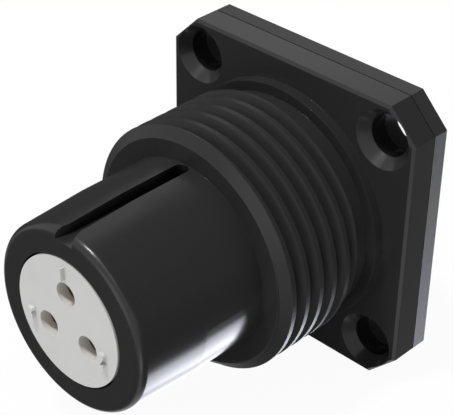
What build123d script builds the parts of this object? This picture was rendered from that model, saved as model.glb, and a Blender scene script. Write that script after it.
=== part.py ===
from build123d import *
import math
import os

os.makedirs("parts", exist_ok=True)

# All sizes are in millimetres. The rear of the gasket lies on the panel in the plane y = 0,
# the nose points to -Y and +Z is up. Distances that end in FRONT, BACK or AT are counted
# from the panel towards the nose, so a point at distance d has y = -d.

# Flange and gasket
FLANGE_WIDTH = 24.0
CORNER_CUT = 2.42
GASKET_THICKNESS = 1.34
FLANGE_THICKNESS = 2.40
FLANGE_EDGE_BEVEL = 0.21
FLANGE_REAR_BEVEL = 0.10
SCREW_TO_EDGE = 2.87
SCREW_HOLE_RADIUS = 1.65
COUNTERSINK_RADIUS = 2.39
COUNTERSINK_DEPTH = 0.88

# Spigot behind the flange, which passes through the panel, with a raised seat for the gasket
SPIGOT_RADIUS = 7.50
GASKET_SEAT_RISE = 0.20
SPIGOT_LENGTH = 4.00
SPIGOT_CHAMFER = 0.30

# Threaded barrel
THREAD_RADIUS = 10.00
THREAD_PITCH = 1.456
THREAD_CREST_WIDTH = 0.42
THREAD_ROOT_WIDTH = 0.066
THREAD_HALF_ANGLE = 30.0
# A groove crosses the +X side of the barrel at this distance
THREAD_GROOVE_AT = 6.922
COLLAR_FRONT = 4.60
RELIEF_FRONT = 6.50
RELIEF_BELOW_ROOT = 0.01
BARREL_FRONT = 14.28
BARREL_FACE_BELOW_ROOT = 0.04

# Nose with its keyway
NOSE_RADIUS = 7.65
NOSE_TAPER_BACK = 19.93
NOSE_FRONT = 25.95
NOSE_FACE_RADIUS = 7.39
NOSE_EDGE_RADIUS = 0.71
KEYWAY_WIDTH = 1.20
KEYWAY_FLOOR = 6.62
KEYWAY_MOUTH_WIDTH = 1.76
KEYWAY_FLARE_LENGTH = 1.10
KEYWAY_LAND = 0.03

# Bore of the shell
FRONT_BORE_RADIUS = 5.30
REAR_BORE_RADIUS = 6.15
BORE_STEP_AT = 11.50
BORE_LEAD_IN = 0.30

# Inserts
INSERT_FRONT = 26.00
INSERT_TIP_RADIUS = 5.15
INSERT_TIP_LENGTH = 4.00
INSERT_JOINT_AT = 9.00
REAR_INSERT_BACK = 5.00
INSERT_PIN_CIRCLE = 2.36
CONTACT_COUNT = 3

# Square cut seal ring around the insert
SEAL_WIDTH = 1.10
SEAL_SIDE_GAP = 0.10
SEAL_GROOVE_DEPTH = 1.00

# Open spring ring behind the rear insert
RING_THICKNESS = 0.80
RING_GROOVE_DEPTH = 0.60
RING_INNER_RADIUS = 5.50
RING_GAP = 2.40
RING_EYE_RADIUS = 0.95
RING_EYE_HOLE_RADIUS = 0.45

# Turned contacts and their hoods
CONTACT_HOLE_RADIUS = 0.95
CONTACT_RECESS = 0.92
CONTACT_COLLAR_RADIUS = 1.35
CONTACT_COLLAR_LENGTH = 1.00
SOCKET_RADIUS = 0.80
SOCKET_BORE_RADIUS = 0.52
SOCKET_BACK = 17.00
SOCKET_BORE_DEPTH = 7.00
SOCKET_SLIT_WIDTH = 0.20
SOCKET_SLIT_LENGTH = 6.00
HOOD_LIP_THICKNESS = 0.45
HOOD_LEAD_IN = 0.10
TAIL_RADIUS = 0.90
TAIL_LENGTH = 6.00
CUP_RADIUS = 0.62
CUP_DEPTH = 3.00
CUP_OPENING_LENGTH = 2.20

# Raised numerals on the face of the insert
NUMERAL_HEIGHT = 1.04
NUMERAL_WIDTH = 0.55
NUMERAL_STROKE = 0.16
NUMERAL_RISE = 0.35
NUMERAL_1_BASE = 3.64
NUMERAL_SIDE_X = 3.71
NUMERAL_SIDE_Z = -1.14

# Positions that follow from the sizes above
FLANGE_BACK = GASKET_THICKNESS
FLANGE_FRONT = FLANGE_BACK + FLANGE_THICKNESS
SCREW_SPACING = FLANGE_WIDTH - 2 * SCREW_TO_EDGE
THREAD_FLANK = math.tan(math.radians(THREAD_HALF_ANGLE))
THREAD_DEPTH = (THREAD_PITCH - THREAD_CREST_WIDTH - THREAD_ROOT_WIDTH) / 2 / THREAD_FLANK
THREAD_ROOT_RADIUS = THREAD_RADIUS - THREAD_DEPTH
RELIEF_RADIUS = THREAD_ROOT_RADIUS - RELIEF_BELOW_ROOT
BARREL_FACE_RADIUS = THREAD_ROOT_RADIUS - BARREL_FACE_BELOW_ROOT
GASKET_SEAT_RADIUS = SPIGOT_RADIUS + GASKET_SEAT_RISE
RING_GROOVE_RADIUS = REAR_BORE_RADIUS + RING_GROOVE_DEPTH
RING_BACK = REAR_INSERT_BACK - RING_THICKNESS
CONTACT_FRONT = INSERT_FRONT - CONTACT_RECESS
SOCKET_FRONT = CONTACT_FRONT - HOOD_LIP_THICKNESS
HOOD_LIP_RADIUS = SOCKET_BORE_RADIUS
SEAL_AT = (INSERT_JOINT_AT + BORE_STEP_AT) / 2
SPARE = 1.0


def turned(points):
    """Solid of revolution about the connector's axis from (radius, distance) points."""
    outline = Polyline(*[(radius, -at) for radius, at in points], close=True)
    return revolve(make_face(outline), Axis.Y)


def rod(radius, back, front, x=0.0, z=0.0):
    """Round bar along the axis between two distances."""
    end = Plane(origin=(x, -back, z), z_dir=(0, -1, 0))
    return Solid.make_cylinder(radius, front - back, end)


def screw_places():
    half = SCREW_SPACING / 2
    return [(x, z) for x in (-half, half) for z in (-half, half)]


def contact_places():
    """Centre of each contact across the axis, number 1 on top, then clockwise from the front."""
    places = []
    for number in range(CONTACT_COUNT):
        turn = math.radians(360 / CONTACT_COUNT * number)
        places.append((INSERT_PIN_CIRCLE * math.sin(turn), INSERT_PIN_CIRCLE * math.cos(turn)))
    return places


def square_plate(back, front):
    """Square plate with cut corners between two distances."""
    half = FLANGE_WIDTH / 2
    low = half - CORNER_CUT
    corners = [(half, low), (low, half), (-low, half), (-half, low),
               (-half, -low), (-low, -half), (low, -half), (half, -low)]
    outline = Polyline(*[(x, -back, z) for x, z in corners], close=True)
    return extrude(make_face(outline), amount=front - back, dir=(0, -1, 0))


def thread_groove():
    """The V groove between the thread's ridges, one cutter for each turn from the relief on."""
    half_open = (THREAD_PITCH - THREAD_CREST_WIDTH) / 2
    half_root = THREAD_ROOT_WIDTH / 2
    # The cutter ends just outside the crest, where its own turns don't meet yet
    half_top = (half_open + THREAD_PITCH / 2) / 2
    top_radius = THREAD_RADIUS + (half_top - half_open) / THREAD_FLANK
    loop = [(THREAD_ROOT_RADIUS, half_root), (top_radius, half_top),
            (top_radius, -half_top), (THREAD_ROOT_RADIUS, -half_root)]
    section = make_face(Polyline(*[(radius, 0, up) for radius, up in loop], close=True))
    # Wound upwards along +Z first, then laid along the connector's axis
    path = Helix(pitch=THREAD_PITCH, height=THREAD_PITCH, radius=THREAD_ROOT_RADIUS)
    turn = Rot(90, 0, 0) * sweep(sections=section, path=path, is_frenet=True)
    start = THREAD_GROOVE_AT - THREAD_PITCH
    count = math.ceil((BARREL_FRONT + half_top - start) / THREAD_PITCH)
    return [Pos(0, -(start + number * THREAD_PITCH), 0) * turn for number in range(count)]


def keyway():
    """Slot along the top of the nose, round at the barrel and flared at the mouth."""
    half = KEYWAY_WIDTH / 2
    mouth = KEYWAY_MOUTH_WIDTH / 2
    back = BARREL_FRONT + KEYWAY_LAND
    round_at = back + half
    flare_back = NOSE_FRONT - KEYWAY_FLARE_LENGTH
    front = NOSE_FRONT + SPARE
    spread = mouth + (mouth - half) / KEYWAY_FLARE_LENGTH * SPARE
    sides = [(half, round_at), (half, flare_back), (spread, front),
             (-spread, front), (-half, flare_back), (-half, round_at)]
    floor = [(x, -at, KEYWAY_FLOOR) for x, at in sides]
    end = ThreePointArc(floor[-1], (0, -back, KEYWAY_FLOOR), floor[0])
    return extrude(make_face(Polyline(*floor) + end), amount=NOSE_RADIUS, dir=(0, 0, 1))


def shell():
    """Flange, barrel, nose and spigot, moulded in one piece."""
    chamfer_back = BARREL_FRONT - (THREAD_RADIUS - BARREL_FACE_RADIUS) * THREAD_FLANK
    body = turned([
        (0, -SPIGOT_LENGTH),
        (SPIGOT_RADIUS - SPIGOT_CHAMFER, -SPIGOT_LENGTH),
        (SPIGOT_RADIUS, SPIGOT_CHAMFER - SPIGOT_LENGTH),
        (SPIGOT_RADIUS, 0),
        (GASKET_SEAT_RADIUS, 0),
        (GASKET_SEAT_RADIUS, FLANGE_BACK),
        (THREAD_RADIUS, FLANGE_BACK),
        (THREAD_RADIUS, COLLAR_FRONT),
        (RELIEF_RADIUS, COLLAR_FRONT),
        (RELIEF_RADIUS, RELIEF_FRONT),
        (THREAD_RADIUS, RELIEF_FRONT),
        (THREAD_RADIUS, chamfer_back),
        (BARREL_FACE_RADIUS, BARREL_FRONT),
        (0, BARREL_FRONT),
    ])
    for turn in thread_groove():
        body -= turn
    plate = square_plate(FLANGE_BACK, FLANGE_FRONT)
    plate = chamfer(plate.faces().sort_by(Axis.Y)[0].edges(), FLANGE_EDGE_BEVEL)
    body += chamfer(plate.faces().sort_by(Axis.Y)[-1].edges(), FLANGE_REAR_BEVEL)
    nose = turned([
        (0, BARREL_FRONT),
        (NOSE_RADIUS, BARREL_FRONT),
        (NOSE_RADIUS, NOSE_TAPER_BACK),
        (NOSE_FACE_RADIUS, NOSE_FRONT),
        (0, NOSE_FRONT),
    ])
    nose = fillet(nose.faces().sort_by(Axis.Y)[0].edges(), NOSE_EDGE_RADIUS)
    body += nose - keyway()
    body -= turned([
        (0, -SPIGOT_LENGTH),
        (REAR_BORE_RADIUS + BORE_LEAD_IN, -SPIGOT_LENGTH),
        (REAR_BORE_RADIUS, BORE_LEAD_IN - SPIGOT_LENGTH),
        (REAR_BORE_RADIUS, RING_BACK),
        (RING_GROOVE_RADIUS, RING_BACK),
        (RING_GROOVE_RADIUS, REAR_INSERT_BACK),
        (REAR_BORE_RADIUS, REAR_INSERT_BACK),
        (REAR_BORE_RADIUS, BORE_STEP_AT),
        (FRONT_BORE_RADIUS, BORE_STEP_AT),
        (FRONT_BORE_RADIUS, NOSE_FRONT),
        (0, NOSE_FRONT),
    ])
    for x, z in screw_places():
        body -= rod(SCREW_HOLE_RADIUS, FLANGE_BACK, FLANGE_FRONT, x, z)
        sink_back = Plane(origin=(x, -FLANGE_FRONT + COUNTERSINK_DEPTH, z), z_dir=(0, -1, 0))
        body -= Solid.make_cone(SCREW_HOLE_RADIUS, COUNTERSINK_RADIUS, COUNTERSINK_DEPTH, sink_back)
    return body


def flange_gasket():
    """Rubber plate between the flange and the panel, stretched over its seat."""
    plate = square_plate(0, GASKET_THICKNESS)
    plate -= rod(GASKET_SEAT_RADIUS, 0, GASKET_THICKNESS)
    for x, z in screw_places():
        plate -= rod(SCREW_HOLE_RADIUS, 0, GASKET_THICKNESS, x, z)
    return plate


def stroke(*lines):
    """Flat face of the numerals' line width along drawn lines."""
    path = lines[0]
    for line in lines[1:]:
        path += line
    return trace(path, line_width=NUMERAL_STROKE)


def numeral_1():
    """Stem with a short arm, standing on the origin."""
    half = NUMERAL_STROKE / 2
    top = NUMERAL_HEIGHT
    flag = NUMERAL_WIDTH / 2
    stem = Polyline((-2 * half, 0), (0, 0), (0, top), (-2 * half, top), close=True)
    arm = Polyline((0, top), (-half - flag, top - flag), (-half - flag, top - flag - NUMERAL_STROKE),
                   (0, top - NUMERAL_STROKE * 1.4), close=True)
    return make_face(stem) + make_face(arm)


def numeral_2():
    """Flat topped bow, slant and foot in a box with its centre at the origin."""
    side = (NUMERAL_WIDTH - NUMERAL_STROKE) / 2
    top = (NUMERAL_HEIGHT - NUMERAL_STROKE) / 2
    bow = side * 1.2
    head = Line((-side, top), (0, top))
    turn = ThreePointArc((0, top), (side * 0.75, top - bow * 0.35), (side, top - bow))
    slant = Line((side, top - bow), (-side, -top))
    foot = Line((-side, -top), (side + NUMERAL_STROKE / 2, -top))
    return stroke(head) + stroke(turn) + stroke(slant) + stroke(foot)


def numeral_3():
    """Flat top, slant to the middle and a round lower bow in a box with its centre at the origin."""
    side = (NUMERAL_WIDTH - NUMERAL_STROKE) / 2
    top = (NUMERAL_HEIGHT - NUMERAL_STROKE) / 2
    waist = (-side * 0.2, top * 0.2)
    head = Line((-side - NUMERAL_STROKE / 2, top), (side, top))
    slant = Line((side, top), waist)
    bow = ThreePointArc(waist, (side, -top * 0.45), (-side, -top * 0.85))
    return stroke(head) + stroke(slant) + stroke(bow)


def raised(face, x, z):
    """Numeral drawn in the XY plane, stood upright on the insert's face."""
    solid = extrude(face, amount=NUMERAL_RISE)
    return Pos(x, -INSERT_FRONT, z) * Rot(90, 0, 0) * solid


def front_insert():
    """Insulator with the three socket holes and the raised numerals."""
    groove_floor = REAR_BORE_RADIUS - SEAL_GROOVE_DEPTH
    groove_half = SEAL_WIDTH / 2 + SEAL_SIDE_GAP
    tip_back = INSERT_FRONT - INSERT_TIP_LENGTH
    body = turned([
        (0, INSERT_JOINT_AT),
        (REAR_BORE_RADIUS, INSERT_JOINT_AT),
        (REAR_BORE_RADIUS, SEAL_AT - groove_half),
        (groove_floor, SEAL_AT - groove_half),
        (groove_floor, SEAL_AT + groove_half),
        (REAR_BORE_RADIUS, SEAL_AT + groove_half),
        (REAR_BORE_RADIUS, BORE_STEP_AT),
        (FRONT_BORE_RADIUS, BORE_STEP_AT),
        (FRONT_BORE_RADIUS, tip_back),
        (INSERT_TIP_RADIUS, tip_back),
        (INSERT_TIP_RADIUS, INSERT_FRONT),
        (0, INSERT_FRONT),
    ])
    for x, z in contact_places():
        body -= rod(CONTACT_HOLE_RADIUS, INSERT_JOINT_AT, INSERT_FRONT, x, z)
        body -= rod(CONTACT_COLLAR_RADIUS, INSERT_JOINT_AT, INSERT_JOINT_AT + CONTACT_COLLAR_LENGTH, x, z)
    body += raised(numeral_1(), 0, NUMERAL_1_BASE)
    body += raised(numeral_2(), NUMERAL_SIDE_X, NUMERAL_SIDE_Z)
    body += raised(numeral_3(), -NUMERAL_SIDE_X, NUMERAL_SIDE_Z)
    return body


def rear_insert():
    """Disc that traps the collars of the contacts."""
    body = rod(REAR_BORE_RADIUS, REAR_INSERT_BACK, INSERT_JOINT_AT)
    for x, z in contact_places():
        body -= rod(TAIL_RADIUS, REAR_INSERT_BACK, INSERT_JOINT_AT, x, z)
    return body


def insert_seal():
    """Rubber ring cut square, stretched on the groove's floor and pressed on the bore."""
    back = SEAL_AT - SEAL_WIDTH / 2
    front = SEAL_AT + SEAL_WIDTH / 2
    ring = rod(REAR_BORE_RADIUS, back, front)
    return ring - rod(REAR_BORE_RADIUS - SEAL_GROOVE_DEPTH, back, front)


def retaining_ring():
    """Open ring of spring steel with an eye at each end for the pliers."""
    body = rod(RING_GROOVE_RADIUS, RING_BACK, REAR_INSERT_BACK)
    body -= rod(RING_INNER_RADIUS, RING_BACK, REAR_INSERT_BACK)
    eye_x = RING_GAP / 2 + RING_EYE_RADIUS
    eye_z = -(RING_INNER_RADIUS - RING_EYE_RADIUS / 2)
    for x in (-eye_x, eye_x):
        body += rod(RING_EYE_RADIUS, RING_BACK, REAR_INSERT_BACK, x, eye_z)
    gap = Box(RING_GAP, RING_THICKNESS + 2 * SPARE, RING_GROOVE_RADIUS)
    body -= Pos(0, -(RING_BACK + REAR_INSERT_BACK) / 2, -RING_GROOVE_RADIUS) * gap
    for x in (-eye_x, eye_x):
        body -= rod(RING_EYE_HOLE_RADIUS, RING_BACK, REAR_INSERT_BACK, x, eye_z)
    return body


def contact(x, z):
    """Turned contact: slit socket in front, collar, and solder cup behind."""
    collar_front = INSERT_JOINT_AT + CONTACT_COLLAR_LENGTH
    body = turned([
        (0, -TAIL_LENGTH),
        (TAIL_RADIUS, -TAIL_LENGTH),
        (TAIL_RADIUS, INSERT_JOINT_AT),
        (CONTACT_COLLAR_RADIUS, INSERT_JOINT_AT),
        (CONTACT_COLLAR_RADIUS, collar_front),
        (CONTACT_HOLE_RADIUS, collar_front),
        (CONTACT_HOLE_RADIUS, SOCKET_BACK),
        (SOCKET_RADIUS, SOCKET_BACK),
        (SOCKET_RADIUS, SOCKET_FRONT),
        (0, SOCKET_FRONT),
    ])
    body -= rod(SOCKET_BORE_RADIUS, SOCKET_FRONT - SOCKET_BORE_DEPTH, SOCKET_FRONT)
    body -= rod(CUP_RADIUS, -TAIL_LENGTH, CUP_DEPTH - TAIL_LENGTH)
    slit = Box(SOCKET_SLIT_WIDTH, SOCKET_SLIT_LENGTH, 3 * SOCKET_RADIUS)
    body -= Pos(0, SOCKET_SLIT_LENGTH / 2 - SOCKET_FRONT, 0) * slit
    opening = Box(3 * TAIL_RADIUS, CUP_OPENING_LENGTH, TAIL_RADIUS)
    body -= Pos(0, TAIL_LENGTH - CUP_OPENING_LENGTH / 2, TAIL_RADIUS / 2) * opening
    return Pos(x, 0, z) * body


def contact_hood(x, z):
    """Thin sleeve pressed over the slit socket, with a lip turned in over its end."""
    body = turned([
        (SOCKET_RADIUS, SOCKET_BACK),
        (CONTACT_HOLE_RADIUS, SOCKET_BACK),
        (CONTACT_HOLE_RADIUS, CONTACT_FRONT),
        (HOOD_LIP_RADIUS + HOOD_LEAD_IN, CONTACT_FRONT),
        (HOOD_LIP_RADIUS, CONTACT_FRONT - HOOD_LEAD_IN),
        (HOOD_LIP_RADIUS, SOCKET_FRONT),
        (SOCKET_RADIUS, SOCKET_FRONT),
    ])
    return Pos(x, 0, z) * body


pieces = {
    "shell": shell(),
    "flange_gasket": flange_gasket(),
    "front_insert": front_insert(),
    "insert_seal": insert_seal(),
    "rear_insert": rear_insert(),
    "retaining_ring": retaining_ring(),
}
for number, (place_x, place_z) in enumerate(contact_places(), start=1):
    pieces[f"contact_{number}"] = contact(place_x, place_z)
    pieces[f"contact_hood_{number}"] = contact_hood(place_x, place_z)

for name, piece in pieces.items():
    solids = piece.solids()
    print(name, len(solids), "solid", round(sum(solid.volume for solid in solids), 3), "mm3")
    export_step(solids[0] if len(solids) == 1 else piece, f"parts/{name}.step")
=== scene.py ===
# %% [markdown]
# # A panel mount connector
# This lesson dresses a small plastic connector: a square flange with a threaded barrel and a keyed
# nose in glossy black, a rubber gasket behind it, and a light grey insert with three gold plated
# sockets. The exact solids are already there as the frame, one object for each piece, in metres,
# with the nose pointing to -Y. Blender's part is the finish of each surface, the light and the view.

# %% Load the frame
import math

import bpy
from mathutils import Matrix, Vector


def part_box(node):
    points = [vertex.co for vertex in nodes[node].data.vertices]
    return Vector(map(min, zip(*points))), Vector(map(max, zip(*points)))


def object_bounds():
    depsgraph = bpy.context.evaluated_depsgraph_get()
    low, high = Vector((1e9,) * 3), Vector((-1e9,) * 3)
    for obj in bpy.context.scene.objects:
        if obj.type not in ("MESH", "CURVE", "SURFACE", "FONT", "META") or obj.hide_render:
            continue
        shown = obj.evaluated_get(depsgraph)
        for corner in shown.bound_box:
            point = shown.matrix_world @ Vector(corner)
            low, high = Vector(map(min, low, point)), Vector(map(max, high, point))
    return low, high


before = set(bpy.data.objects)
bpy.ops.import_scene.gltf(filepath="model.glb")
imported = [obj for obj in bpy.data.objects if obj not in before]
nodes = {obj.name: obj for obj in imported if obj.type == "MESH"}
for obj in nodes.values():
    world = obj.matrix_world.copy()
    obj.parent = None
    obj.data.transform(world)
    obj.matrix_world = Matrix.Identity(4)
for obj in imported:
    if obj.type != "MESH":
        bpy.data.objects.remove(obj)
cad_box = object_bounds()
scene = bpy.context.scene
MM = 0.001
print("pieces from the frame:", ", ".join(sorted(nodes)))

# %% [markdown]
# Colours are written as the sRGB hex values that one reads off a screen. Blender's shaders want
# linear values, so one function turns them. A second one turns the width of a pattern's cell into
# the scale that a texture asks for, so that each grain is given as a real size.

# %% Helpers for colours and lengths
WHITE = "ffffff"


def to_linear(code):
    """Linear RGBA from an sRGB hex code such as 1a1a1b."""
    parts = [int(code[i:i + 2], 16) / 255 for i in (0, 2, 4)]
    return [c / 12.92 if c <= 0.04045 else ((c + 0.055) / 1.055) ** 2.4 for c in parts] + [1.0]


def per_mm(size_mm):
    """Texture scale at which one cell of a pattern is that many millimetres wide."""
    return 1.0 / (size_mm * MM)


print("sRGB 2a2a2b is linear", [round(part, 4) for part in to_linear("2a2a2b")])

# %% [markdown]
# Every surface here is a tree of shader nodes. One function adds a node with its settings and links,
# so that a material reads as a short recipe from top to bottom. Textures are laid out in the
# object's own coordinates, which are metres here and belong to the piece, not to the view.

# %% Helpers for shader nodes
def add(tree, kind, inputs=None, **settings):
    """A new shader node: settings are its own properties, inputs are values or other nodes' outputs."""
    node = tree.nodes.new(kind)
    for name, value in settings.items():
        setattr(node, name, value)
    for name, value in (inputs or {}).items():
        if isinstance(value, bpy.types.NodeSocket):
            tree.links.new(value, node.inputs[name])
        else:
            node.inputs[name].default_value = value
    return node


def empty_tree(owner):
    """The shader tree of a material or a world, without the nodes that Blender puts in it."""
    owner.use_nodes = True
    owner.node_tree.nodes.clear()
    return owner.node_tree


def new_material(name):
    """A material and its empty tree."""
    material = bpy.data.materials.new(name)
    return material, empty_tree(material)


def own_place(tree):
    """The place on the object, in its own coordinates."""
    return add(tree, "ShaderNodeTexCoord").outputs["Object"]


def finish_material(tree, surface):
    add(tree, "ShaderNodeOutputMaterial", {"Surface": surface})


# %% [markdown]
# The shell is moulded in a steel tool, and its gloss is the tool's polish. The nose and the flange
# are bright in the photograph and the thread is duller, as a thread in a tool is hard to polish. One
# material does it all by place: a colour ramp with hard steps gives each stretch along the axis its
# polish, and the crests of the thread are set apart by their radius.

# %% Polish of the moulding tool
TOOL_FROM = -16.0 * MM
TOOL_TO = -4.0 * MM
NOSE_POLISH = 1.0
TOOL_POLISH = (
    (-14.3 * MM, 0.6),  # bevel at the front of the barrel
    (-13.65 * MM, 0.3),  # thread
    (-6.5 * MM, 1.0),  # relief groove, collar and flange
)
CREST_FROM = 9.93 * MM
CREST_TO = 9.98 * MM
CREST_POLISH = 0.35


def tool_polish(tree, where, radius):
    """How well the tool is polished at a place: 0 for dull and 1 for bright."""
    place = add(tree, "ShaderNodeSeparateXYZ", {"Vector": where})
    along = add(tree, "ShaderNodeMapRange", {
        "Value": place.outputs["Y"], "From Min": TOOL_FROM, "From Max": TOOL_TO})
    stretches = add(tree, "ShaderNodeValToRGB", {"Fac": along.outputs["Result"]})
    stretches.color_ramp.interpolation = "CONSTANT"
    steps = stretches.color_ramp.elements
    steps[0].color = (NOSE_POLISH, NOSE_POLISH, NOSE_POLISH, 1.0)
    for start, polish in TOOL_POLISH:
        step = steps.new((start - TOOL_FROM) / (TOOL_TO - TOOL_FROM))
        step.color = (polish, polish, polish, 1.0)
    crest = add(tree, "ShaderNodeMapRange", {
        "Value": radius, "From Min": CREST_FROM, "From Max": CREST_TO, "To Max": CREST_POLISH})
    best = add(tree, "ShaderNodeMath", {0: crest.outputs["Result"], 1: stretches.outputs["Color"]},
               operation="MAXIMUM")
    return best.outputs[0]


print("the polish changes at y =", [round(start / MM, 2) for start, polish in TOOL_POLISH], "mm")

# %% [markdown]
# Deep and narrow places of the plastic are nearly black in the photograph, and shade is painted
# into the colour there. Ambient occlusion tells the shader how open a place is, and the painted shade
# follows it. The barrel is left out by its radius, or the thread's grooves would turn black too. The
# walls of the screw holes take a second mask of painted shade. The four holes lie alike about the
# axis, so X and Z without their signs make them one, and the distance from that one's axis finds the walls.

# %% Painted shade in deep places and in the screw holes
OPEN_REACH = 2.5 * MM
OPEN_FROM = 0.25
OPEN_TO = 0.52
BARREL_INSIDE = 8.1 * MM
BARREL_OUTSIDE = 10.7 * MM
SCREW_TO_EDGE = 2.87 * MM
HOLE_AT = cad_box[1][0] - SCREW_TO_EDGE
HOLE_WALL = 1.66 * MM
HOLE_WALL_FADE = 0.02 * MM
# Share of the plastic's colour that the painted shade leaves on the screw holes' walls.
HOLE_WALL_PAINTED_SHADE_LEVEL = 0.3


def painted_shade_by_openness(tree, radius):
    """Painted shade by openness: from 0, fully shaded, in a deep place to 1 in the open, and 1 at all the
    radii of the barrel.
    """
    sky = add(tree, "ShaderNodeAmbientOcclusion", {"Distance": OPEN_REACH}, samples=8)
    depth = add(tree, "ShaderNodeMapRange", {
        "Value": sky.outputs["AO"], "From Min": OPEN_FROM, "From Max": OPEN_TO})
    middle = (BARREL_INSIDE + BARREL_OUTSIDE) / 2
    half = (BARREL_OUTSIDE - BARREL_INSIDE) / 2
    barrel = add(tree, "ShaderNodeMath", {0: radius, 1: middle, 2: half}, operation="COMPARE")
    light = add(tree, "ShaderNodeMath", {0: depth.outputs["Result"], 1: barrel.outputs[0]},
                operation="MAXIMUM")
    return light.outputs[0]


def painted_shade_in_screw_holes(tree, across):
    """Painted shade on the screw holes' walls: 1 away from the holes and less on their walls."""
    folded = add(tree, "ShaderNodeVectorMath", {0: across}, operation="ABSOLUTE")
    offset = add(tree, "ShaderNodeVectorMath", {0: folded.outputs["Vector"], 1: (HOLE_AT, 0.0, HOLE_AT)},
                 operation="SUBTRACT")
    reach = add(tree, "ShaderNodeVectorMath", {0: offset.outputs["Vector"]}, operation="LENGTH")
    solid = add(tree, "ShaderNodeMapRange", {
        "Value": reach.outputs["Value"], "From Min": HOLE_WALL, "From Max": HOLE_WALL + HOLE_WALL_FADE,
        "To Min": HOLE_WALL_PAINTED_SHADE_LEVEL})
    return solid.outputs["Result"]


print("screw holes", round(HOLE_AT / MM, 2), "mm from the axis in X and in Z")

# %% [markdown]
# The plastic itself is black glass-filled nylon. It shrinks a little over its ribs and the glass
# fibres lie just under the skin, so highlights have a soft edge and wander slightly. Two noises do
# this: a wide one for the shrinkage, several millimetres across, and a fine one for the skin. The
# Bevel node rounds the normals at sharp edges, as no moulded edge is perfectly sharp.

# %% Moulded black nylon
EDGE_ROUNDING = 0.035 * MM
# The first colour is the painted shade of deep places, the second the plastic's own colour.
NYLON_PAINTED_SHADE = "060606"
NYLON_OPEN = "2a2a2b"
SHEEN_DULL = 0.06
SHEEN_BRIGHT = 0.25
DULL_ROUGHNESS = 0.2


def moulded_black_nylon():
    material, tree = new_material("moulded black nylon")
    where = own_place(tree)
    sink = add(tree, "ShaderNodeTexNoise", {"Vector": where, "Scale": per_mm(4.0), "Detail": 2.0})
    skin = add(tree, "ShaderNodeTexNoise", {"Vector": where, "Scale": per_mm(0.12), "Detail": 3.0})
    gloss = add(tree, "ShaderNodeMapRange", {
        "Value": skin.outputs["Fac"], "To Min": 0.18, "To Max": 0.24})
    edges = add(tree, "ShaderNodeBevel", {"Radius": EDGE_ROUNDING}, samples=6)
    broad = add(tree, "ShaderNodeBump", {
        "Height": sink.outputs["Fac"], "Normal": edges.outputs["Normal"],
        "Strength": 0.2, "Distance": 0.01 * MM})
    fine = add(tree, "ShaderNodeBump", {
        "Height": skin.outputs["Fac"], "Normal": broad.outputs["Normal"],
        "Strength": 0.08, "Distance": 0.002 * MM})
    across = add(tree, "ShaderNodeVectorMath", {0: where, 1: (1.0, 0.0, 1.0)}, operation="MULTIPLY")
    radius = add(tree, "ShaderNodeVectorMath", {0: across.outputs["Vector"]}, operation="LENGTH")
    # Painted shade: the two masks darken the colour to nearly black in deep places and on the screw holes'
    # walls.
    light = add(tree, "ShaderNodeMath", {
        0: painted_shade_by_openness(tree, radius.outputs["Value"]), 1: painted_shade_in_screw_holes(tree, across.outputs["Vector"])},
        operation="MULTIPLY")
    tone = add(tree, "ShaderNodeMix", {
        "Factor": light.outputs[0], "A": to_linear(NYLON_PAINTED_SHADE), "B": to_linear(NYLON_OPEN)},
        data_type="RGBA")
    polish = tool_polish(tree, where, radius.outputs["Value"])
    sheen = add(tree, "ShaderNodeMapRange", {"Value": polish, "To Min": SHEEN_DULL, "To Max": SHEEN_BRIGHT})
    dull = add(tree, "ShaderNodeMapRange", {"Value": polish, "To Min": DULL_ROUGHNESS, "To Max": 0.0})
    rough = add(tree, "ShaderNodeMath", {0: gloss.outputs["Result"], 1: dull.outputs["Result"]},
                operation="ADD")
    shader = add(tree, "ShaderNodeBsdfPrincipled", {
        "Base Color": tone.outputs["Result"], "Roughness": rough.outputs[0],
        "Normal": fine.outputs["Normal"], "IOR": 1.5, "Specular IOR Level": sheen.outputs["Result"]})
    finish_material(tree, shader.outputs["BSDF"])
    return material


black_nylon = moulded_black_nylon()
print(black_nylon.name, "has", len(black_nylon.node_tree.nodes), "nodes")

# %% [markdown]
# The gasket is stamped from a sheet of black neoprene. Rubber sheet has a dull, dusty skin from the
# talc between the sheets, with a fine pebble that one sees only as a lack of gloss.

# %% Stamped neoprene sheet
def stamped_neoprene():
    material, tree = new_material("stamped neoprene sheet")
    where = own_place(tree)
    dust = add(tree, "ShaderNodeTexNoise", {"Vector": where, "Scale": per_mm(1.5), "Detail": 6.0})
    pebble = add(tree, "ShaderNodeTexNoise", {"Vector": where, "Scale": per_mm(0.15), "Detail": 2.0})
    tone = add(tree, "ShaderNodeValToRGB", {"Fac": dust.outputs["Fac"]})
    tone.color_ramp.elements[0].color = to_linear("1e1e1e")
    tone.color_ramp.elements[1].color = to_linear("262626")
    bump = add(tree, "ShaderNodeBump", {
        "Height": pebble.outputs["Fac"], "Strength": 0.4, "Distance": 0.02 * MM})
    shader = add(tree, "ShaderNodeBsdfPrincipled", {
        "Base Color": tone.outputs["Color"], "Roughness": 0.5,
        "Normal": bump.outputs["Normal"], "IOR": 1.5})
    finish_material(tree, shader.outputs["BSDF"])
    return material


neoprene = stamped_neoprene()
print(neoprene.name, "has", len(neoprene.node_tree.nodes), "nodes")

# %% [markdown]
# Both inserts are moulded from light grey PBT, a polyester that insulates well. It comes out of the
# tool with a satin skin, and its colour is even, with a faint cloudiness where the flow met. Inside
# the contacts' holes the photograph shows a slightly warmer grey, light thrown back by the gold, so a
# painted warm light takes over just behind the face. The face itself lies one numeral's rise behind the
# front of the insert's box.

# %% Moulded grey PBT
NUMERAL_RISE = 0.35 * MM
PAINTED_WARM_LIGHT_FROM = 0.02 * MM
PAINTED_WARM_LIGHT_TO = 0.12 * MM


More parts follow.
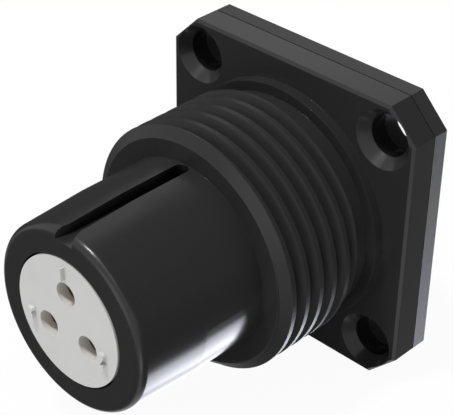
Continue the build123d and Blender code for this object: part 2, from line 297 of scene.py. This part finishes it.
def moulded_grey_pbt():
    face_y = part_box("front_insert")[0].y + NUMERAL_RISE
    material, tree = new_material("moulded grey PBT")
    where = own_place(tree)
    flow = add(tree, "ShaderNodeTexNoise", {"Vector": where, "Scale": per_mm(2.5), "Detail": 2.0})
    skin = add(tree, "ShaderNodeTexNoise", {"Vector": where, "Scale": per_mm(0.10), "Detail": 2.0})
    tone = add(tree, "ShaderNodeValToRGB", {"Fac": flow.outputs["Fac"]})
    tone.color_ramp.elements[0].color = to_linear("c4c4c3")
    tone.color_ramp.elements[1].color = to_linear("cbcbca")
    place = add(tree, "ShaderNodeSeparateXYZ", {"Vector": where})
    painted_warm_light = add(tree, "ShaderNodeMapRange", {
        "Value": place.outputs["Y"], "From Min": face_y + PAINTED_WARM_LIGHT_FROM, "From Max": face_y + PAINTED_WARM_LIGHT_TO})
    # Painted warm light: behind the face, in the contacts' holes, the colour turns to a warmer grey for the
    # light that the gold throws back.
    blend = add(tree, "ShaderNodeMix", {
        "Factor": painted_warm_light.outputs["Result"], "A": tone.outputs["Color"], "B": to_linear("ccc8c3")},
        data_type="RGBA")
    bump = add(tree, "ShaderNodeBump", {
        "Height": skin.outputs["Fac"], "Strength": 0.2, "Distance": 0.006 * MM})
    shader = add(tree, "ShaderNodeBsdfPrincipled", {
        "Base Color": blend.outputs["Result"], "Roughness": 0.5,
        "Normal": bump.outputs["Normal"], "IOR": 1.5, "Specular IOR Level": 0.25})
    finish_material(tree, shader.outputs["BSDF"])
    return material


grey_pbt = moulded_grey_pbt()
print(grey_pbt.name, "has", len(grey_pbt.node_tree.nodes), "nodes")

# %% [markdown]
# The contacts are turned from brass bar and plated with gold. Turning leaves fine rings around each
# contact, which plating doesn't fill. A wave texture along Y, the axis of the bar, draws them. It is
# the sine of twenty times the place, so its bands lie tau / 20 of its units apart, and a scale of
# one unit for each millimetre sets the rings 0.31 mm apart. The hoods wear the same recipe in a
# darker colour and with less gloss.

# %% Turned brass with gold plating
WAVE_SPACING = math.tau / 20
RING_SCALE = per_mm(1.0)
GLOSS_SPREAD = 0.06


def turned_metal(name, colour, roughness):
    material, tree = new_material(name)
    where = own_place(tree)
    rings = add(tree, "ShaderNodeTexWave", {"Vector": where, "Scale": RING_SCALE, "Distortion": 1.0},
                wave_type="BANDS", bands_direction="Y")
    stain = add(tree, "ShaderNodeTexNoise", {"Vector": where, "Scale": per_mm(0.6), "Detail": 3.0})
    gloss = add(tree, "ShaderNodeMapRange", {
        "Value": stain.outputs["Fac"],
        "To Min": roughness - GLOSS_SPREAD, "To Max": roughness + GLOSS_SPREAD})
    bump = add(tree, "ShaderNodeBump", {
        "Height": rings.outputs["Fac"], "Strength": 0.3, "Distance": 0.003 * MM})
    shader = add(tree, "ShaderNodeBsdfPrincipled", {
        "Base Color": to_linear(colour), "Metallic": 1.0, "Roughness": gloss.outputs["Result"],
        "Normal": bump.outputs["Normal"]})
    finish_material(tree, shader.outputs["BSDF"])
    return material


contact_gold = turned_metal("turned brass with gold plating", "c9a050", 0.28)
hood_gold = turned_metal("drawn brass hood in darker gold", "6a543a", 0.35)
print("turning rings", round(WAVE_SPACING / RING_SCALE / MM, 2), "mm apart")

# %% [markdown]
# The retaining ring is stamped from spring steel and phosphated against rust, which leaves a skin of
# small grey crystals. The cells of a Voronoi texture stand for them, in the gloss and as a slight
# bump. It is seen only from behind, so nothing finer is needed.

# %% Phosphated spring steel
def phosphated_spring_steel():
    material, tree = new_material("phosphated spring steel")
    where = own_place(tree)
    crystals = add(tree, "ShaderNodeTexVoronoi", {"Vector": where, "Scale": per_mm(0.08)})
    gloss = add(tree, "ShaderNodeMapRange", {
        "Value": crystals.outputs["Distance"], "To Min": 0.4, "To Max": 0.6})
    bump = add(tree, "ShaderNodeBump", {
        "Height": crystals.outputs["Distance"], "Strength": 0.3, "Distance": 0.004 * MM})
    shader = add(tree, "ShaderNodeBsdfPrincipled", {
        "Base Color": to_linear("5c5d60"), "Metallic": 1.0, "Roughness": gloss.outputs["Result"],
        "Normal": bump.outputs["Normal"]})
    finish_material(tree, shader.outputs["BSDF"])
    return material


spring_steel = phosphated_spring_steel()
print(spring_steel.name, "has", len(spring_steel.node_tree.nodes), "nodes")

# %% [markdown]
# The seal between the inserts and the shell is moulded from nitrile rubber: dull, nearly black, with
# a fine uneven skin. No view shows it, so one noise as a bump is enough.

# %% Moulded nitrile rubber
def moulded_nitrile():
    material, tree = new_material("moulded nitrile rubber")
    where = own_place(tree)
    skin = add(tree, "ShaderNodeTexNoise", {"Vector": where, "Scale": per_mm(0.2), "Detail": 2.0})
    bump = add(tree, "ShaderNodeBump", {
        "Height": skin.outputs["Fac"], "Strength": 0.3, "Distance": 0.01 * MM})
    shader = add(tree, "ShaderNodeBsdfPrincipled", {
        "Base Color": to_linear("202020"), "Roughness": 0.6, "Normal": bump.outputs["Normal"]})
    finish_material(tree, shader.outputs["BSDF"])
    return material


nitrile = moulded_nitrile()
print(nitrile.name, "has", len(nitrile.node_tree.nodes), "nodes")

# %% [markdown]
# Each piece of the frame now gets its finish. The frame's faces are small flats, so shading them
# smoothly and keeping only the real edges sharp gives round surfaces with crisp corners.

# %% Dress the pieces
EDGE_ANGLE = math.radians(28)
CONTACTS = (1, 2, 3)

finishes = {
    "shell": black_nylon,
    "flange_gasket": neoprene,
    "front_insert": grey_pbt,
    "rear_insert": grey_pbt,
    "insert_seal": nitrile,
    "retaining_ring": spring_steel,
}
for number in CONTACTS:
    finishes[f"contact_{number}"] = contact_gold
    finishes[f"contact_hood_{number}"] = hood_gold

for name, material in finishes.items():
    mesh = nodes[name].data
    mesh.materials.clear()
    mesh.materials.append(material)
    mesh.shade_smooth()
    mesh.set_sharp_from_angle(angle=EDGE_ANGLE)
    print(name, "wears", material.name, "on", len(mesh.polygons), "faces")

# %% [markdown]
# The product stands before plain white and is lit softly from all around. One world does both: the
# Light Path node tells what kind of ray asks, and the camera, mirrors and glass get pure white,
# while the light on dull surfaces comes from a dimmer sky.

# %% White world
AMBIENT = 0.45

world = bpy.data.worlds.new("white studio")
scene.world = world
tree = empty_tree(world)
ray = add(tree, "ShaderNodeLightPath")
seen = ray.outputs["Is Camera Ray"]
for kind in ("Is Glossy Ray", "Is Transmission Ray"):
    either = add(tree, "ShaderNodeMath", {0: seen, 1: ray.outputs[kind]}, operation="MAXIMUM")
    seen = either.outputs[0]
strength = add(tree, "ShaderNodeMapRange", {"Value": seen, "To Min": AMBIENT, "To Max": 1.0})
backdrop = add(tree, "ShaderNodeBackground", {
    "Color": to_linear(WHITE), "Strength": strength.outputs["Result"]})
add(tree, "ShaderNodeOutputWorld", {"Surface": backdrop.outputs["Background"]})
print("sky strength 1.0 where it is seen and", AMBIENT, "as light")

# %% [markdown]
# The floor is a pale sheet of paper that keeps the soft shadow. Most of what the camera sees of it is
# a white glow, and the rest is plain paper, so that the shadow stays faint. It is left out of the
# reflections and lets light through from below, so that the cards and the lamps under the table can
# draw on the glossy plastic what they draw in the photograph.

# %% Pale floor
FLOOR_HALF = 400 * MM
PAPER = "f0f0f0"
PAPER_GLOW = 0.95


def square(name, half, height=0.0):
    """A level square mesh, half its width to each side of the Z axis, at a height."""
    mesh = bpy.data.meshes.new(name)
    mesh.from_pydata([(-half, -half, height), (half, -half, height), (half, half, height),
                      (-half, half, height)], [], [(0, 1, 2, 3)])
    return mesh


floor_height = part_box("shell")[0].z
floor_mesh = square("pale_floor", FLOOR_HALF, floor_height)
floor = bpy.data.objects.new("pale_floor", floor_mesh)
scene.collection.objects.link(floor)
floor.visible_shadow = False
floor.visible_glossy = False

paper, tree = new_material("white paper sheet")
ray = add(tree, "ShaderNodeLightPath")
sheet = add(tree, "ShaderNodeBsdfDiffuse", {"Color": to_linear(PAPER)})
glow = add(tree, "ShaderNodeEmission", {"Color": to_linear(WHITE), "Strength": 1.0})
share = add(tree, "ShaderNodeMath", {0: ray.outputs["Is Camera Ray"], 1: PAPER_GLOW},
            operation="MULTIPLY")
mix = add(tree, "ShaderNodeMixShader", {
    "Fac": share.outputs[0], 1: sheet.outputs["BSDF"], 2: glow.outputs["Emission"]})
finish_material(tree, mix.outputs["Shader"])
floor_mesh.materials.append(paper)
print("floor at", round(floor_height / MM, 2), "mm")

# %% [markdown]
# Lamps and cards are placed by two angles, as one would walk around a table and raise an arm: a
# bearing and a height over the horizon. Each one is then turned to face the connector. That keeps
# their places readable, and a lamp can be moved without working out where it stands.

# %% Helpers for placing lamps and cards
MIDDLE = Vector((0, -12 * MM, 0))
SIDEWAYS = Vector((1, 0, 0))


def toward(bearing, height):
    """Direction at a bearing, turned from +Y towards +X, and at a height over the horizon, in degrees."""
    flat = math.cos(math.radians(height))
    turn = math.radians(bearing)
    return Vector((flat * math.sin(turn), flat * math.cos(turn), math.sin(math.radians(height))))


def face_middle(thing, direction, distance, along=SIDEWAYS):
    """Puts a thing at a distance in a direction, faces it to the connector and lays its width along."""
    side = (along - along.dot(direction) * direction).normalized()
    turn = Matrix((side, direction.cross(side), direction)).transposed().to_4x4()
    thing.matrix_world = Matrix.Translation(MIDDLE + direction * distance) @ turn


print("the lamps face y =", round(MIDDLE.y / MM, 1), "mm")

# %% [markdown]
# Eight lamps stand a metre away. The key is small and high in front, so that it throws the numerals'
# crisp shadows down the insert. A wide lamp in the same place softens them, and another one level
# with the nose lifts the insert and the faces that look forward.

# %% Lamps from the front
LAMP_DISTANCE = 1000 * MM
KEY = toward(-156, 71.5)


def lamp(name, direction, width, height, power, colour=WHITE, along=SIDEWAYS):
    """Soft box of a size in metres and a power in watts that faces the connector."""
    light = bpy.data.lights.new(name, "AREA")
    light.shape = "RECTANGLE"
    light.size = width
    light.size_y = height
    light.energy = power
    light.color = to_linear(colour)[:3]
    thing = bpy.data.objects.new(name, light)
    face_middle(thing, direction, LAMP_DISTANCE, along)
    thing.visible_camera = False
    scene.collection.objects.link(thing)
    print(name, "gives", power, "W from", width, "by", height, "m")
    return thing


lamp("key_box", KEY, width=0.12, height=0.12, power=6.0)
lamp("top_box", KEY, width=0.60, height=0.60, power=1.3)
lamp("front_box", toward(176, 4), width=0.60, height=0.60, power=1.25)

# %% [markdown]
# Glossy black is drawn by what it mirrors. Under the table a long bluish lamp makes the white band
# along the nose, and a weaker one next to it widens the band downwards. Both show again as streaks
# on the lower crests of the thread. Two more lamps are seen only as reflections: one is the line on
# the flange's bevel, the other a thin arc at the nose's rim. A strip is a lamp that is given by the
# directions of its two ends.

# %% Lamps for the reflections
BLUISH = "f0f2ff"


def strip(name, right, left, **lamp_settings):
    """A lamp whose width runs from the left direction to the right one."""
    return lamp(name, (right + left).normalized(), along=right - left, **lamp_settings)


strip("band_box", toward(40.9, -49.0), toward(-4.9, -57.0), width=0.5, height=0.2, power=2.3,
      colour=BLUISH)
strip("table_box", toward(-5.0, -57.2), toward(-40.7, -47.7), width=0.41, height=0.24, power=0.6,
      colour=BLUISH)
bevel_box = lamp("bevel_box", toward(135, -35.3), width=0.30, height=0.30, power=0.5)
rim_strip = strip("rim_strip", toward(124, 42), toward(172, 72), width=0.55, height=0.14, power=0.7)
for thing in (bevel_box, rim_strip):
    thing.visible_diffuse = False
    print(thing.name, "is seen only as a reflection")

# %% [markdown]
# In the photograph the right side of the gasket is clearly lighter than the shell beside it. Light
# linking lets one lamp reach the gasket alone. A real studio can't do that, but the other ways, such
# as a lighter rubber, would also brighten the gasket's top.

# %% A lamp for the gasket alone
side_box = lamp("side_box", toward(45, -52), width=0.50, height=0.50, power=6.4, colour=BLUISH)
lit = bpy.data.collections.new("lit by the side box")
lit.objects.link(nodes["flange_gasket"])
side_box.light_linking.receiver_collection = lit

# %% [markdown]
# White all around would turn glossy black into grey. As in a real studio, grey cards with a soft edge
# stand where the plastic should stay dark: low in front, low and high on the right, high at the back
# and level on the left. They are seen only in reflections, so the light on dull surfaces stays even.

# %% Grey cards
CARD_DISTANCE = 1500 * MM


def only_in_reflections(thing):
    for reach in ("camera", "diffuse", "transmission", "volume_scatter", "shadow"):
        setattr(thing, "visible_" + reach, False)


def card_paint(name, core_radius, rim_radius, grey):
    """Glowing grey that is even up to the core's radius and fades to nothing at the rim's."""
    material, tree = new_material(name)
    away = add(tree, "ShaderNodeVectorMath", {0: own_place(tree)}, operation="LENGTH")
    cover = add(tree, "ShaderNodeMapRange", {
        "Value": away.outputs["Value"], "From Min": core_radius, "From Max": rim_radius,
        "To Min": 1.0, "To Max": 0.0}, interpolation_type="SMOOTHSTEP")
    air = add(tree, "ShaderNodeBsdfTransparent")
    paint = add(tree, "ShaderNodeEmission", {"Color": to_linear(WHITE), "Strength": grey})
    mix = add(tree, "ShaderNodeMixShader", {
        "Fac": cover.outputs["Result"], 1: air.outputs["BSDF"], 2: paint.outputs["Emission"]})
    finish_material(tree, mix.outputs["Shader"])
    return material


def card(name, direction, core, rim, grey):
    """Round card with a core and a rim given by their angles in degrees from its centre."""
    core_radius = CARD_DISTANCE * math.tan(math.radians(core))
    rim_radius = CARD_DISTANCE * math.tan(math.radians(rim))
    mesh = square(name, rim_radius)
    mesh.materials.append(card_paint(name + " paint", core_radius, rim_radius, grey))
    thing = bpy.data.objects.new(name, mesh)
    face_middle(thing, direction, CARD_DISTANCE)
    only_in_reflections(thing)
    scene.collection.objects.link(thing)
    print(name, "is", round(2 * rim_radius, 2), "m wide and its grey", grey)


card("low_front_card", toward(-143, -40), core=32, rim=48, grey=0.06)
card("low_right_card", toward(75, -30), core=32, rim=48, grey=0.08)
card("high_right_card", toward(50, 45), core=34, rim=55, grey=0.12)
card("high_back_card", toward(-16, 35), core=12, rim=22, grey=0.30)
card("low_left_card", toward(-68, -4), core=26, rim=40, grey=0.05)

# %% [markdown]
# The photograph shows the screw holes dark inside, as they are on a panel that closes them from
# behind. Here their glossy walls would mirror the white sky. Round black patches just inside the
# gasket's back paint a dark reflection there instead, and like the cards they are seen only in reflections.

# %% Black patches for a painted dark reflection in the screw holes
PATCH_RADIUS = 1.6 * MM
PATCH_DEPTH = 0.02 * MM
PATCH_CORNERS = 32
DARK_PATCH_GLOW = 0.02

# Painted reflection: a faintly glowing black that the holes' walls mirror in place of a panel.
dark_patch_paint, tree = new_material("black reflection patch")
finish_material(tree, add(tree, "ShaderNodeEmission", {"Strength": DARK_PATCH_GLOW}).outputs["Emission"])
turns = [math.tau * corner / PATCH_CORNERS for corner in range(PATCH_CORNERS)]
mesh = bpy.data.meshes.new("dark_reflection_patch")
mesh.from_pydata([(PATCH_RADIUS * math.cos(turn), 0, PATCH_RADIUS * math.sin(turn)) for turn in turns],
                 [], [tuple(range(PATCH_CORNERS))])
mesh.materials.append(dark_patch_paint)
for x in (-HOLE_AT, HOLE_AT):
    for z in (-HOLE_AT, HOLE_AT):
        patch = bpy.data.objects.new("dark_reflection_patch", mesh)
        patch.location = (x, -PATCH_DEPTH, z)
        only_in_reflections(patch)
        scene.collection.objects.link(patch)
        print("dark reflection patch at x", round(x / MM, 2), "z", round(z / MM, 2), "mm")

# %% [markdown]
# The photograph looks at the connector along a cube's diagonal, from the right, the front and above,
# through a long lens. The distance and the lens were found by matching corners and circles of the
# connector. It lies beside the lens's axis, so the picture is shifted and the camera isn't turned.
# The sensor and the lens are in millimetres, and both shifts in pixels of the photograph.

# %% Camera
CAMERA_PLACE = Vector((65.09, -78.67, 65.07)) * MM
TURN = math.radians(45.0)
TILT = math.radians(35.264)
SENSOR = 36.0
LENS = 120.25
IMAGE_WIDTH = 454
SHIFT_RIGHT = 33.53
SHIFT_UP = 41.70
CLIP_START = 1 * MM
CLIP_END = 5000 * MM

right = Vector((math.cos(TURN), math.sin(TURN), 0))
back = Vector((math.sin(TURN) * math.cos(TILT), -math.cos(TURN) * math.cos(TILT), math.sin(TILT)))
up = back.cross(right)
camera_data = bpy.data.cameras.new("camera")
camera_data.sensor_fit = "HORIZONTAL"
camera_data.sensor_width = SENSOR
camera_data.lens = LENS
camera_data.shift_x = SHIFT_RIGHT / IMAGE_WIDTH
camera_data.shift_y = SHIFT_UP / IMAGE_WIDTH
camera_data.clip_start = CLIP_START
camera_data.clip_end = CLIP_END
camera = bpy.data.objects.new("camera", camera_data)
scene.collection.objects.link(camera)
basis = Matrix((right, up, back)).transposed().to_4x4()
camera.matrix_world = Matrix.Translation(CAMERA_PLACE) @ basis
scene.camera = camera
scene.view_settings.view_transform = "Standard"
print("camera", round(CAMERA_PLACE.length / MM, 1), "mm from the panel's centre")
